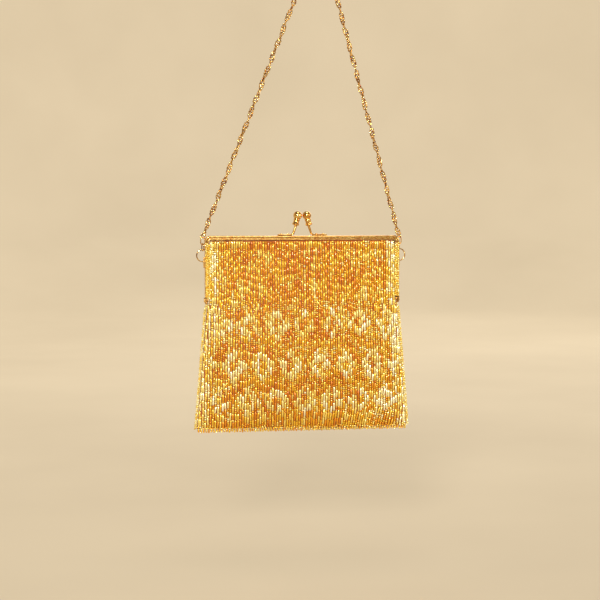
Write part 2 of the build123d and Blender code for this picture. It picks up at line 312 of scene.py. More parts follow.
@dataclass(frozen=True)
class LinedGlass:
    """Glass with a silvery depth, toned by each bead's own number from 0 to 1."""

    name: str
    tones: tuple[tuple[float, Colour], ...]
    roughness: float = 0.24
    silver: float = 0.4

    def material(self) -> bpy.types.Material:
        """Returns the material."""
        bench = NodeBench(self.name)
        streak = bench.spread(bench.noise(1100.0, 2.0, bench.stretched((1.0, 1.0, 0.3))),
                              -0.16, 0.16)
        tone = bench.count("ADD", bench.attribute("tone"), streak)
        bench.feed("Base Color", bench.ramp(tone, self.tones))
        bench.feed("Roughness", bench.spread(bench.noise(1700.0), self.roughness * 0.6,
                                             self.roughness * 1.4))
        bench.set(Metallic=self.silver, Coat_Weight=0.75, Coat_Roughness=0.06, Coat_IOR=1.55)
        return bench.material


@dataclass(frozen=True)
class Cloth:
    """Woven cloth with crossing threads and a soft sheen."""

    name: str
    light: Colour
    dark: Colour
    threads: float = 2600.0
    sheen: float = 0.4
    roughness: float = 0.55

    def material(self) -> bpy.types.Material:
        """Returns the material."""
        bench = NodeBench(self.name)
        across = bench.noise(self.threads, 1.0, bench.stretched((1.0, 1.0, 0.08)))
        along = bench.noise(self.threads, 1.0, bench.stretched((0.08, 1.0, 1.0)))
        weave = bench.count("MULTIPLY", across, along)
        shade = bench.count("ADD", bench.spread(weave, 0.1, 0.9),
                            bench.spread(bench.noise(90.0), 0, 0.3))
        bench.feed("Base Color", bench.ramp(shade, [(0.25, self.dark), (0.75, self.light)]))
        bench.feed("Roughness", bench.spread(bench.noise(400.0), self.roughness - 0.1,
                                             self.roughness + 0.1))
        bench.emboss(weave, 0.5, 0.00012)
        bench.set(Sheen_Weight=self.sheen, Sheen_Roughness=0.4)
        return bench.material


class Finishes:
    """Every finish of the bag, each made once."""

    def __init__(self) -> None:
        """Makes the materials."""
        low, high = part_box("front_frame")
        plate = PlatedMetal("frame_gold", srgb(252, 212, 134), srgb(214, 154, 78), 0.16, 0.32)
        # The frame's dark lines are painted groove shade.
        self.frame_gold = GrooveShadedMetal(plate, srgb(112, 62, 22)).material(
            (low.x + high.x) / 2, (high.x - low.x) / 2, high.z)
        self.ridge_gold = PlatedMetal("ridge_gold", srgb(255, 220, 138), srgb(226, 164, 84),
                                      0.12, 0.26, 330.0).material()
        # The clasp's and the chain's dark dull colours are painted reflections of dark
        # surroundings.
        self.clasp_gold = PlatedMetal("clasp_gold", srgb(252, 212, 132), srgb(206, 140, 62),
                                      0.06, 0.16).material()
        self.chain_gold = PlatedMetal("chain_gold", srgb(248, 208, 130), srgb(138, 80, 28),
                                      0.1, 0.26, 420.0).material()
        self.rivet_gold = PlatedMetal("rivet_gold", srgb(248, 208, 136), srgb(208, 158, 88),
                                      0.15, 0.35).material()
        self.beads = LinedGlass("amber_glass", (
            (0.0, srgb(190, 88, 0)), (0.3, srgb(222, 142, 2)), (0.55, srgb(232, 182, 34)),
            (0.78, srgb(238, 214, 116)), (1.0, srgb(246, 240, 196)))).material()
        self.ground = Cloth("ground_cloth", srgb(180, 92, 4), srgb(120, 54, 0),
                            sheen=0.05).material()
        self.satin = Cloth("lining_satin", srgb(232, 208, 160), srgb(196, 164, 112),
                           3600.0, 0.6, 0.38).material()
        self.paper = Cloth("paper_cord", srgb(206, 184, 140), srgb(160, 134, 92)).material()


# ---------------------------------------------------------------------------------------------
# Mesh helpers
# ---------------------------------------------------------------------------------------------


def new_piece(name: str, shape: bmesh.types.BMesh, material: bpy.types.Material,
              body: str | None) -> bpy.types.Object:
    """Makes a piece from a bmesh and hangs it on its body.

    Args:
        name: The piece's name.
        shape: The finished shape, which is freed.
        material: Its finish.
        body: The CAD body that it moves with, or None for a piece that hangs on no body.

    Returns:
        The piece.
    """
    mesh = bpy.data.meshes.new(name)
    shape.to_mesh(mesh)
    shape.free()
    for face in mesh.polygons:
        face.use_smooth = True
    mesh.materials.append(material)
    piece = bpy.data.objects.new(name, mesh)
    bpy.context.scene.collection.objects.link(piece)
    if body:
        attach(piece, body)
    LOG.info("%s: %d faces on %s", name, len(mesh.polygons), body)
    return piece


def dress(nodes: Iterable[str], material: bpy.types.Material) -> None:
    """Gives CAD nodes a finish.

    Args:
        nodes: The nodes' names.
        material: Their new material.
    """
    for node in nodes:
        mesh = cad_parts[node].data
        mesh.materials.clear()
        mesh.materials.append(material)
        LOG.info("%s: dressed in %s", node, material.name)


def turned(direction: Vector, across: Vector = Vector((0, 1, 0))) -> Matrix:
    """Returns the turn that takes Z to a direction and keeps Y near another.

    Args:
        direction: Where Z goes.
        across: What Y stays near.

    Returns:
        A 4 by 4 turn.
    """
    z_axis = direction.normalized()
    x_axis = across.cross(z_axis).normalized()
    y_axis = z_axis.cross(x_axis)
    return Matrix((x_axis, y_axis, z_axis)).transposed().to_4x4()


@dataclass
class BeadKind:
    """One kind of bead: an eight-sided rod with rounded ends, and no hole.

    Fields are the radius, the length and how far the ends are rounded.
    """

    radius: float
    length: float
    rounding: float
    steps: int = 2
    mesh: bpy.types.Mesh = field(init=False)
    rest: list[float] = field(init=False)

    def __post_init__(self) -> None:
        """Makes the bead's own small mesh."""
        shape = bmesh.new()
        bmesh.ops.create_cone(shape, cap_ends=True, segments=8, radius1=self.radius,
                              radius2=self.radius, depth=self.length)
        rims = [edge for edge in shape.edges
                if abs(edge.verts[0].co.z - edge.verts[1].co.z) < 1e-7]
        bmesh.ops.bevel(shape, geom=rims, offset=self.rounding, segments=self.steps,
                        profile=0.5, affect="EDGES", material=-1)
        self.mesh = bpy.data.meshes.new("bead_kind")
        shape.to_mesh(self.mesh)
        shape.free()
        self.mesh.attributes.new("tone", "FLOAT", "POINT")
        self.rest = [0.0] * (3 * len(self.mesh.vertices))
        self.mesh.vertices.foreach_get("co", self.rest)

    def stamp(self, target: bmesh.types.BMesh, place: Matrix, tone: float) -> None:
        """Adds one bead to a shape.

        Args:
            target: The shape that gets the bead.
            place: Where the bead goes, with its hole along Z.
            tone: The bead's own number from 0, deep amber, to 1, pale.
        """
        self.mesh.vertices.foreach_set("co", self.rest)
        self.mesh.transform(place)
        self.mesh.attributes["tone"].data.foreach_set(
            "value", [tone] * len(self.mesh.vertices))
        target.from_mesh(self.mesh)


def joined(parts: Sequence[bmesh.types.BMesh]) -> bmesh.types.BMesh:
    """Returns several shapes as one, and frees them."""
    whole = bmesh.new()
    for part in parts:
        mesh = bpy.data.meshes.new("part")
        part.to_mesh(mesh)
        part.free()
        whole.from_mesh(mesh)
        bpy.data.meshes.remove(mesh)
    return whole


# ---------------------------------------------------------------------------------------------
# The bag's own measures
# ---------------------------------------------------------------------------------------------


@dataclass
class BagForm:
    """The pouch's form: how wide it is and how far each face bulges at each drop.

    levels holds (drop, half width, bulge) from the frame's top to the bottom seam.
    """

    middle: float
    top: float
    parting: float
    levels: tuple[tuple[float, float, float], ...] = tuple(
        (drop * MM, half * MM, bulge * MM) for drop, half, bulge in (
            (3.7, 78.6, 0.3), (14.0, 79.3, 1.6), (28.0, 79.3, 3.2), (45.0, 79.3, 4.9),
            (57.2, 79.4, 5.8), (60.2, 81.1, 6.1), (80.0, 83.0, 7.4), (98.0, 84.5, 8.0),
            (118.0, 86.2, 7.5), (140.0, 88.1, 5.7), (155.0, 89.4, 3.3), (163.2, 90.1, 1.2)))
    ripple: float = 0.35 * MM
    ripple_size: float = 34.0
    seam_start: float = 58.0 * MM
    seam_width: float = 6.0 * MM
    frame_lift: float = 0.9 * MM
    fold_top: float = 45.0 * MM
    fold_foot: float = 63.2 * MM
    flat: tuple[float, float] = (180.2 * MM, 160.4 * MM)
    area: float = 0.02688

    @classmethod
    def from_frame(cls) -> "BagForm":
        """Returns the form, placed by the front frame half."""
        low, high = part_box("front_frame")
        return cls(middle=(low.x + high.x) / 2, top=high.z, parting=(low.y + high.y) / 2)

    @property
    def first_drop(self) -> float:
        """Where the cloth starts under the frame."""
        return self.levels[0][0]

    @property
    def last_drop(self) -> float:
        """Where the bottom seam lies."""
        return self.levels[-1][0]

    def at_drop(self, drop: float) -> tuple[float, float]:
        """Returns the half width and the bulge at a drop."""
        last = self.levels[0]
        for level in self.levels:
            if level[0] >= drop:
                share = (drop - last[0]) / max(level[0] - last[0], 1e-9)
                share = min(1.0, max(0.0, share))
                return tuple(a + (b - a) * share for a, b in zip(last[1:], level[1:]))
            last = level
        return last[1], last[2]

    def point(self, across: float, drop: float, out: float, side: Side) -> Vector:
        """Returns a point on a face.

        Args:
            across: From -1 at the left edge to 1 at the right one.
            drop: How far below the frame's top.
            out: How far outside the face's flat inner plane.
            side: Front or back.

        Returns:
            The point in the row frame.
        """
        half, bulge = self.at_drop(drop)
        wave = noise.noise(Vector((across * half * self.ripple_size, drop * self.ripple_size,
                                   7.0 * side.value)))
        edge = 1 - abs(across) ** 2
        near = min(1.0, max(0.0, 1 - (1 - abs(across)) * half / self.seam_width))
        below = min(1.0, max(0.0, (drop - self.seam_start) / (8 * MM)))
        under = min(1.0, max(0.0, 1 - (drop - self.first_drop) / self.seam_width))
        lift = max(near * (1 - below), under) * self.frame_lift if out > 0.6 * MM else 0.0
        height = (out * (1 - 0.48 * near * near * below) + bulge * edge + lift
                  + self.ripple * wave * min(1.0, edge * 6))
        return Vector((self.middle + across * half, self.parting + side.value * height,
                       self.top - drop))

    def lean(self, x: float, drop: float, out: float, side: Side) -> Vector:
        """Returns the downward direction along a face, at a distance from its middle."""
        step = 1.5 * MM
        below, above = (self.point(x / self.at_drop(drop + way)[0], drop + way, out, side)
                        for way in (step, -step))
        return (below - above).normalized()

    def fold(self, piece: bpy.types.Object) -> None:
        """Bakes a front piece's place into its mesh; the piece does not fold at the hinge line."""
        foot = self.point(0, self.fold_foot, 0, Side.FRONT)
        top = self.point(0, self.fold_top, 0, Side.FRONT)
        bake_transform(piece)


# ---------------------------------------------------------------------------------------------
# Bead pattern
# ---------------------------------------------------------------------------------------------


@dataclass
class DiamondPattern:
    """Rows of small pale diamonds on an amber ground, between a plain yoke and a plain hem.

    rows holds (drop of the diamonds' middles, shift across, strength of the outline).
    """

    period: float = 23.6 * MM
    half_width: float = 9.6 * MM
    half_height: float = 12.4 * MM
    ring: float = 0.5
    rows: tuple[tuple[float, float, float], ...] = (
        (74.4 * MM, 0.3 * MM, 0.68), (108.6 * MM, 12.1 * MM, 0.96), (139.5 * MM, 0.3 * MM, 0.8))
    yoke_end: float = 56.0 * MM
    hem_start: float = 151.0 * MM
    edge_width: float = 7.0 * MM
    edge_wide: float = 13.5 * MM
    edge_span: tuple[float, float] = (56.0 * MM, 96.0 * MM)

    def zone(self, x: float, drop: float, half: float, chance: float) -> Zone:
        """Returns the field that a place lies in.

        Args:
            x: Across from the middle.
            drop: Below the frame's top.
            half: The face's half width there.
            chance: A number from 0 to 1 that frays the outlines.

        Returns:
            The field.
        """
        wide = x < 0 and self.edge_span[0] < drop < self.edge_span[1]
        if half - abs(x) < (self.edge_wide if wide else self.edge_width):
            return Zone.EDGE
        if drop < self.yoke_end:
            return Zone.YOKE
        for middle, shift, strength in self.rows:
            sideways = abs((x - shift + self.period / 2) % self.period - self.period / 2)
            reach = sideways / self.half_width + abs(drop - middle) / self.half_height
            if self.ring < reach < 1.06 and chance < strength:
                return Zone.OUTLINE
        return Zone.HEM if drop > self.hem_start else Zone.DIAMOND


@dataclass
class BeadFace:
    """The beads of one face, strung in columns from the frame to the bottom seam."""

    form: BagForm
    side: Side
    body: str | None
    strips: int = 4
    pitch: float = 2.034 * MM
    fan: float = 0.25
    seam_gap: float = 1.05 * MM
    seam_room: float = 1.9 * MM
    bead_out: float = 1.75 * MM
    top_gap: float = 0.5 * MM
    bottom_gap: float = -0.7 * MM
    seed_pitch: float = 1.72 * MM
    bugle_length: float = 6.1 * MM
    sway: float = 0.55 * MM
    slant: float = 0.26
    slant_start: float = 148.0 * MM
    pattern: DiamondPattern = field(default_factory=DiamondPattern)
    mix: dict[Zone, tuple[float, float, float]] = field(default_factory=lambda: {
        Zone.YOKE: (0.66, 0.14, 0.7), Zone.OUTLINE: (0.85, 0.7, 0.92),
        Zone.DIAMOND: (0.22, 0.14, 0.68), Zone.HEM: (0.6, 0.2, 0.68),
        Zone.EDGE: (0.55, 0.42, 0.86)})
    strays: int = 1
    stray_across: float = 0.045
    stray_down: float = 4.6 * MM
    stray_lift: float = 0.6 * MM
    pieces: list[bpy.types.Object] = field(default_factory=list)

    def build(self, finishes: Finishes) -> None:
        """Strings every column and makes the strips.

        Args:
            finishes: The bag's finishes.
        """
        draw = random.Random(41 + self.side.value)
        seed = BeadKind(0.93 * MM, 1.5 * MM, 0.43 * MM)
        bugle = BeadKind(0.83 * MM, self.bugle_length, 0.18 * MM, steps=1)
        widest = max(half for _, half, _ in self.form.levels)
        count = 2 * int((widest - self.seam_room) / self.pitch)
        places = [(index - (count - 1) / 2) * self.pitch for index in range(count)]
        each = math.ceil(count / self.strips)
        for strip in range(self.strips):
            parts = [self.stray(strip, bugle, draw) for _ in range(self.strays)]
            for start in places[strip * each:(strip + 1) * each]:
                parts.append(self.column(start, seed, bugle, draw))
            if strip in (0, self.strips - 1):
                parts.append(self.column(math.copysign(1.0, places[strip * each]), seed,
                                         bugle, draw))
            name = f"{self.side.name.lower()}_beads_{strip + 1}"
            piece = new_piece(name, joined(parts), finishes.beads, self.body)
            self.pieces.append(piece)

    def across(self, start: float, drop: float) -> float | None:
        """Returns where a column runs at a drop, from -1 to 1, or None outside the seams.

        Args:
            start: The column's distance from the middle, or 1 or -1 for one on a seam.
            drop: How far below the frame's top.

        Returns:
            The place, or None.
        """
        half, _ = self.form.at_drop(drop)
        if abs(start) == 1.0:
            return start * (1 - self.seam_gap / half)
        first, _ = self.form.at_drop(self.form.first_drop)
        place = start * (1 + self.fan * (half / first - 1))
        return place / half if abs(place) < half - self.seam_room else None

    def stray(self, strip: int, bugle: BeadKind, draw: random.Random) -> bmesh.types.BMesh:
        """Lays two beads that worked loose slantwise over the columns.

        Args:
            strip: The strip that they lie on.
            bugle: The bugle bead.
            draw: The source of chance.

        Returns:
            The two beads.
        """
        shape = bmesh.new()
        width = 2 / self.strips
        across = -1 + width * (strip + draw.uniform(0.2, 0.8))
        drop = draw.uniform(20, 140) * MM
        side = draw.choice((-1, 1))
        for step in range(2):
            spot = self.form.point(across + side * step * self.stray_across,
                                   drop + step * self.stray_down,
                                   self.bead_out + self.stray_lift, self.side)
            way = Vector((-side * draw.uniform(0.7, 0.9), 0, 1))
            bugle.stamp(shape, Matrix.Translation(spot) @ turned(way)
                        @ Matrix.Diagonal((0.62, 0.62, 0.8, 1.0)), draw.uniform(0.5, 0.8))
        return shape

    def column(self, start: float, seed: BeadKind, bugle: BeadKind,
               draw: random.Random) -> bmesh.types.BMesh:
        """Strings one column.

        Args:
            start: The column's distance from the middle, or 1 or -1 for one on a seam.
            seed: The seed bead.
            bugle: The bugle bead.
            draw: The source of chance.

        Returns:
            The column's beads.
        """
        shape = bmesh.new()
        drop = self.form.first_drop + self.top_gap + draw.uniform(0, 0.8) * MM
        end = self.form.last_drop - self.bottom_gap
        mood = draw.uniform(-0.08, 0.08)
        while drop < end:
            across = self.across(start, drop)
            if across is None:
                drop += self.seed_pitch
                continue
            half, _ = self.form.at_drop(drop)
            zone = self.pattern.zone(across * half, drop + 2 * MM, half, draw.random())
            kind, tone = self.choose(zone, draw)
            long = kind is BeadChoice.BUGLE
            stretch = draw.uniform(0.86, 1.12) if long else draw.uniform(0.92, 1.06)
            length = (self.bugle_length + 0.16 * MM if long else self.seed_pitch) * stretch
            if drop + length > end:
                if long and drop + self.seed_pitch < end:
                    long, stretch, length = False, 1.0, self.seed_pitch
                else:
                    break
            middle = drop + length / 2
            place = self.place(across, middle, stretch, long, draw)
            patch = 0.12 * noise.noise(Vector((across * 4, middle * 45, 3.0)))
            patch += 0.1 * across * across
            (bugle if long else seed).stamp(shape, place, tone + mood + patch)
            drop += length
        return shape

    def choose(self, zone: Zone, draw: random.Random) -> tuple["BeadChoice", float]:
        """Returns the kind and tone of the next bead in a zone."""
        chance, long, low, high = draw.random(), *self.mix[zone]
        kind = BeadChoice.BUGLE if chance < long else BeadChoice.SEED
        if kind is BeadChoice.SEED and zone is not Zone.OUTLINE:
            high += 0.12
        return kind, draw.uniform(low, high)

    def place(self, across: float, drop: float, stretch: float, long: bool,
              draw: random.Random) -> Matrix:
        """Returns the place of a bead's middle, with its hole along the column."""
        half, _ = self.form.at_drop(drop)
        calm = min(1.0, (1 - abs(across)) * 9)
        sideways = self.sway * calm * noise.noise(
            Vector((across * half * 70, drop * 60, 11.0 * self.side.value)))
        fan = max(0.0, across + 0.1) * min(1.0, (1 - across) * 5)
        slant = fan * max(0.0, drop - self.slant_start) * self.slant
        shifted = across + (sideways - slant) / half + draw.gauss(0, 0.05) * MM / half
        out = self.bead_out + draw.gauss(0, 0.09) * MM
        spot = self.form.point(shifted, drop, out, self.side)
        down = self.form.lean(across * half, drop, out, self.side)
        tilt = 0.05 if long else 0.16
        lean = -self.slant * fan * (drop > self.slant_start)
        down = down + Vector((lean + draw.gauss(0, tilt), draw.gauss(0, tilt * 0.5), 0))
        return (Matrix.Translation(spot) @ turned(-down)
                @ Matrix.Diagonal((1.0, 1.0, stretch, 1.0)))


class BeadChoice(Enum):
    """The two kinds of bead on the faces."""

    SEED = "seed"
    BUGLE = "bugle"


@dataclass
class Pouch:
    """The beaded cloth: a woven ground on each face, its beads, the side piping and the hem."""

    form: BagForm
    ground_out: float = 0.72 * MM
    ground_thick: float = 0.24 * MM
    piping_radius: float = 1.25 * MM
    piping_step: float = 0.5 * MM
    piping_rise: float = 6.3 * MM
    piping_turn: float = math.radians(101)
    arcs: int = 82
    arc_beads: int = 6
    arc_start: float = -200.0
    arc_turn: float = 44.0

    def build(self, finishes: Finishes) -> None:
        """Builds the pouch.

        Args:
            finishes: The bag's finishes.
        """
        front = self.ground(Side.FRONT, finishes)
        back = self.ground(Side.BACK, finishes)
        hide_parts("front_beaded_panel_upper", "front_beaded_panel_fold",
                    "front_beaded_panel_lower")
        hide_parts("back_beaded_panel")
        front_beads = BeadFace(self.form, Side.FRONT, None)
        front_beads.build(finishes)
        back_beads = BeadFace(self.form, Side.BACK, "back_half")
        back_beads.build(finishes)
        for piece in (front, *front_beads.pieces):
            self.form.fold(piece)
        for sign, name in ((-1, "left"), (1, "right")):
            self.piping(sign, name, finishes)
        self.picots(finishes)

    def ground(self, side: Side, finishes: Finishes) -> bpy.types.Object:
        """Returns the woven ground of a face, a curved sheet with its own thickness."""
        shape = shell(self.form, side, self.ground_out, self.ground_thick, 72, 66,
                      self.form.first_drop, self.form.last_drop)
        name = f"{side.name.lower()}_ground_cloth"
        body = None if side is Side.FRONT else "back_half"
        return new_piece(name, shape, finishes.ground, body)

    def piping(self, sign: int, name: str, finishes: Finishes) -> None:
        """Winds seed beads round the side seam, from under the hinge to the bottom."""
        draw = random.Random(7 + sign)
        low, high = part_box(f"{name}_side_piping")
        outer_top, outer_foot = (low.x, high.x) if sign > 0 else (high.x, low.x)
        top_x = outer_top + sign * self.piping_radius
        foot_x = outer_foot - sign * self.piping_radius
        slope = (foot_x - top_x) / (high.z - low.z)
        bead = BeadKind(0.76 * MM, 1.3 * MM, 0.36 * MM)
        shape = bmesh.new()
        step, rise = self.piping_step, self.piping_rise
        for count in range(int((high.z + rise - low.z) / step)):
            z = high.z + rise - 0.4 * MM - count * step
            x = top_x + slope * (high.z - z)
            if z > high.z:
                x -= sign * 1.9 * MM * ((z - high.z) / rise) ** 2
            angle = count * self.piping_turn
            reach = Vector((math.cos(angle) * 0.72, math.sin(angle) * 0.95, 0)) * MM
            way = Vector((-math.sin(angle) * 0.8, math.cos(angle) * 0.8, -0.5))
            spot = Vector((x, self.form.parting, z)) + reach
            bead.stamp(shape, Matrix.Translation(spot) @ turned(way, Vector((0.1, 1, 0.3))),
                       draw.uniform(0.6, 1.0))
        piece = new_piece(f"{name}_bead_piping", shape, finishes.beads, "back_half")
        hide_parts(f"{name}_side_piping")

    def picots(self, finishes: Finishes) -> None:
        """Wraps the bottom seam in short bead arcs that make a small scallop."""
        draw = random.Random(23)
        low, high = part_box("bottom_edging")
        bead = BeadKind(0.84 * MM, 1.34 * MM, 0.38 * MM)
        shape = bmesh.new()
        for arc in range(self.arcs):
            x = low.x + (high.x - low.x) * (arc + 0.5) / self.arcs
            scallop = 0.75 * MM * abs(math.sin(math.pi * arc / 2.6))
            edge = (arc + 0.5) / self.arcs * 2 - 1
            depth = (1.15 + 1.7 * (1 - edge * edge)) * MM
            radius = 1.5 * MM + scallop + draw.gauss(0, 0.06) * MM
            for part in range(self.arc_beads):
                angle = math.radians(self.arc_start + self.arc_turn * part)
                spot = Vector((x + draw.gauss(0, 0.08) * MM,
                               self.form.parting + math.cos(angle) * depth,
                               high.z - 0.75 * MM + math.sin(angle) * radius))
                way = Vector((draw.gauss(0.15, 0.1), -math.sin(angle), math.cos(angle)))
                bead.stamp(shape, Matrix.Translation(spot) @ turned(way, Vector((1, 0, 0))),
                           draw.uniform(0.3, 0.8))
        piece = new_piece("bottom_picots", shape, finishes.beads, "back_half")
        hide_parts("bottom_edging")


def shell(form: BagForm, side: Side, out: float, thick: float, across_steps: int,
          down_steps: int, start: float, end: float,
          wrinkle: Callable[[float, float], float] | None = None) -> bmesh.types.BMesh:
    """Makes a curved sheet of one face with its own thickness.

    Args:
        form: The pouch's form.
        side: Front or back.
        out: How far out the sheet's inner side lies.
        thick: Its thickness.
        across_steps: Squares across.
        down_steps: Squares down.
        start: The drop of its top edge.
        end: The drop of its bottom edge.
        wrinkle: Extra height by place from -1 to 1 and drop, or none.

    Returns:
        The sheet, closed at its edges.
    """
    shape = bmesh.new()
    bmesh.ops.create_grid(shape, x_segments=across_steps, y_segments=down_steps, size=1.0)
    for vertex in shape.verts:
        across, drop = vertex.co.x, start + (1 - vertex.co.y) / 2 * (end - start)
        extra = wrinkle(across, drop) if wrinkle else 0.0
        vertex.co = form.point(across, drop, out + extra, side)
    bmesh.ops.recalc_face_normals(shape, faces=shape.faces)
    if shape.faces[:][0].normal.y * side.value < 0:
        bmesh.ops.reverse_faces(shape, faces=shape.faces)
    bmesh.ops.solidify(shape, geom=shape.faces[:], thickness=-thick)
    bmesh.ops.recalc_face_normals(shape, faces=shape.faces)
    return shape


# ---------------------------------------------------------------------------------------------
# Lining
# ---------------------------------------------------------------------------------------------


@dataclass
class LiningSet:
    """The satin lining of both faces and the slip pocket on the back one."""

    form: BagForm
    lining_out: float = 0.2 * MM
    thick: float = 0.25 * MM

    def build(self, finishes: Finishes) -> None:
        """Builds the lining and the pocket.

        Args:
            finishes: The bag's finishes.
        """
        front = self.half(Side.FRONT, finishes)
        self.form.fold(front)
        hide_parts("front_lining_upper", "front_lining_fold", "front_lining_lower")
        back = self.half(Side.BACK, finishes)
        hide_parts("back_lining")
        self.pocket(finishes)

    def half(self, side: Side, finishes: Finishes) -> bpy.types.Object:
        """Returns the lining of a face, gathered a little under the frame."""
        def gathers(across: float, drop: float) -> float:
            """Returns the height of the gathers at a place."""
            fade = math.exp(-(drop - self.form.first_drop) / (16 * MM))
            edge = min(1.0, (1 - abs(across)) * 14)
            return -0.12 * MM * (1 + math.sin(across * 88 + 2 * math.sin(across * 9))) \
                * fade * edge
        shape = shell(self.form, side, self.lining_out, self.thick, 160, 60,
                      self.form.first_drop, self.form.last_drop - 0.2 * MM, gathers)
        name = f"{side.name.lower()}_satin_lining"
        body = None if side is Side.FRONT else "back_half"
        return new_piece(name, shape, finishes.satin, body)

    def pocket(self, finishes: Finishes) -> None:
        """Sews a flat pocket on the back lining."""
        low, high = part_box("slip_pocket")
        half, _ = self.form.at_drop(self.form.top - (low.z + high.z) / 2)
        width = (high.x - low.x) / 2 / half
        start, end = self.form.top - high.z, self.form.top - low.z
        shape = bmesh.new()
        bmesh.ops.create_grid(shape, x_segments=48, y_segments=32, size=1.0)
        for vertex in shape.verts:
            drop = start + (1 - vertex.co.y) / 2 * (end - start)
            vertex.co = self.form.point(vertex.co.x * width, drop, -0.3 * MM, Side.BACK)
        bmesh.ops.recalc_face_normals(shape, faces=shape.faces)
        if shape.faces[:][0].normal.y > 0:
            bmesh.ops.reverse_faces(shape, faces=shape.faces)
        bmesh.ops.solidify(shape, geom=shape.faces[:], thickness=0.3 * MM)
        bmesh.ops.recalc_face_normals(shape, faces=shape.faces)
        piece = new_piece("slip_pocket_cloth", shape, finishes.satin, "back_half")
        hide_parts("slip_pocket")


# ---------------------------------------------------------------------------------------------
# Handle, frame and clasp
# ---------------------------------------------------------------------------------------------


@dataclass
class TwistedChain:
    """The handle: a flat curb chain of slanted oval links, twisted along its length."""

    diameter: float = 4.0 * MM
    wire: float = 0.5 * MM
    long_half: float = 2.05 * MM
    wide_half: float = 1.2 * MM
    pitch: float = 2.3 * MM
    turn_length: float = 25.0 * MM
    slant: float = math.radians(48)
    tilt: float = math.radians(20)
    depth: float = 0.0
    route: tuple[tuple[float, float], ...] = (
        (-0.0977, -0.2272), (-0.0180, -0.0250), (-0.0092, -0.0027), (0.0007, 0.0011),
        (0.0102, -0.0037), (0.0165, -0.0269), (0.0709, -0.2272))

    def build(self, finishes: Finishes) -> None:
        """Builds the chain along its route.

        Args:
            finishes: The bag's finishes.
        """
        draw = random.Random(5)
        line = self.line()
        lengths = [0.0]
        for before, after in zip(line, line[1:]):
            lengths.append(lengths[-1] + (after - before).length)
        total = lengths[-1]
        link = self.link()
        rest = [0.0] * (3 * len(link.vertices))
        link.vertices.foreach_get("co", rest)
        count = int(total / self.pitch)
        shape, at = bmesh.new(), 0
        for index in range(count + 1):
            along = min(total - 1e-6, (index + 0.35) * total / (count + 0.7))
            while lengths[at + 1] < along:
                at += 1
            share = (along - lengths[at]) / (lengths[at + 1] - lengths[at])
            spot = line[at].lerp(line[at + 1], share)
            way = (line[at + 1] - line[at]).normalized()
            twist = Matrix.Rotation(2 * math.pi * along / self.turn_length
                                    + draw.gauss(0, 0.07), 4, "Z")
            lean = (Matrix.Rotation(self.slant, 4, "Y")
                    @ Matrix.Rotation(self.tilt * (1 if index % 2 else -1), 4, "Z"))
            link.vertices.foreach_set("co", rest)
            link.transform(Matrix.Translation(spot) @ turned(way) @ twist @ lean)
            shape.from_mesh(link)
        chain = new_piece("twisted_chain", shape, finishes.chain_gold, "handle")
        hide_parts("handle_chain")
        LOG.info("twisted_chain: %.3f m long, %d links", total, count)

    def line(self) -> list[Vector]:
        """Returns the points of the chain's smooth middle line."""
        curve = bpy.data.curves.new("chain_route", "CURVE")
        curve.dimensions = "3D"
        spline = curve.splines.new("NURBS")
        spline.points.add(len(self.route) - 1)
        for point, (x, z) in zip(spline.points, self.route):
            point.co = (x, self.depth, z, 1.0)
        spline.order_u = 3
        spline.use_endpoint_u = True
        spline.resolution_u = 24
        holder = bpy.data.objects.new("chain_route", curve)
        mesh = bpy.data.meshes.new_from_object(holder)
        line = [vertex.co.copy() for vertex in mesh.vertices]
        bpy.data.objects.remove(holder)
        bpy.data.meshes.remove(mesh)
        bpy.data.curves.remove(curve)
        return line

    def link(self) -> bpy.types.Mesh:
        """Returns one oval wire link in the XZ plane, long along Z."""
        shape = bmesh.new()
        ring = bmesh.ops.create_circle(shape, cap_ends=False, segments=6, radius=self.wire)
        verts = ring["verts"]
        bmesh.ops.rotate(shape, verts=verts, cent=(0, 0, 0),
                         matrix=Matrix.Rotation(math.pi / 2, 3, "X"))
        bmesh.ops.translate(shape, verts=verts, vec=(self.wide_half, 0, 0))
        bmesh.ops.spin(shape, geom=shape.edges[:], cent=(0, 0, 0), axis=(0, 0, 1), dvec=(0, 0, 0),
                       angle=2 * math.pi, steps=12, use_merge=True)
        bmesh.ops.recalc_face_normals(shape, faces=shape.faces)
        bmesh.ops.scale(shape, vec=(1, self.long_half / self.wide_half, 1), verts=shape.verts)
        bmesh.ops.rotate(shape, verts=shape.verts, cent=(0, 0, 0),
                         matrix=Matrix.Rotation(math.pi / 2, 3, "X"))
        mesh = bpy.data.meshes.new("chain_link")
        shape.to_mesh(mesh)
        shape.free()
        return mesh


@dataclass
class ClaspRoots:
    """The bent feet that join each clasp arm to its riveted tab."""

    radius: float = 0.78 * MM
    bend: float = 2.0 * MM
    rise: float = math.radians(64)

    def build(self, finishes: Finishes) -> None:
        """Bends one foot for each half.

        Args:
            finishes: The bag's finishes.
        """
        for half, sign in (("front", 1), ("back", -1)):
            low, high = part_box(f"{half}_clasp_arm")
            tab_low, tab_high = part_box(f"{half}_clasp_tab")
            foot = Vector((low.x if sign > 0 else high.x, (tab_low.y + tab_high.y) / 2, low.z))
            foot += Vector((sign * 0.62, 0, 0.9)) * MM
            centre = foot + Vector((-sign * math.sin(self.rise), 0,
                                    math.cos(self.rise))) * self.bend
            shape = bmesh.new()
            ring = bmesh.ops.create_circle(shape, cap_ends=True, segments=12,
                                           radius=self.radius)["verts"]
            bmesh.ops.rotate(shape, verts=ring, cent=(0, 0, 0),
                             matrix=Matrix.Rotation(math.pi / 2, 3, "Y"))
            bmesh.ops.translate(shape, verts=ring, vec=centre - Vector((0, 0, self.bend)))
            bmesh.ops.spin(shape, geom=shape.faces[:], cent=centre, axis=(0, -sign, 0),
                           dvec=(0, 0, 0), angle=self.rise, steps=8, use_duplicate=False)
            bmesh.ops.recalc_face_normals(shape, faces=shape.faces)
            new_piece(f"{half}_clasp_root", shape, finishes.clasp_gold, f"{half}_half")


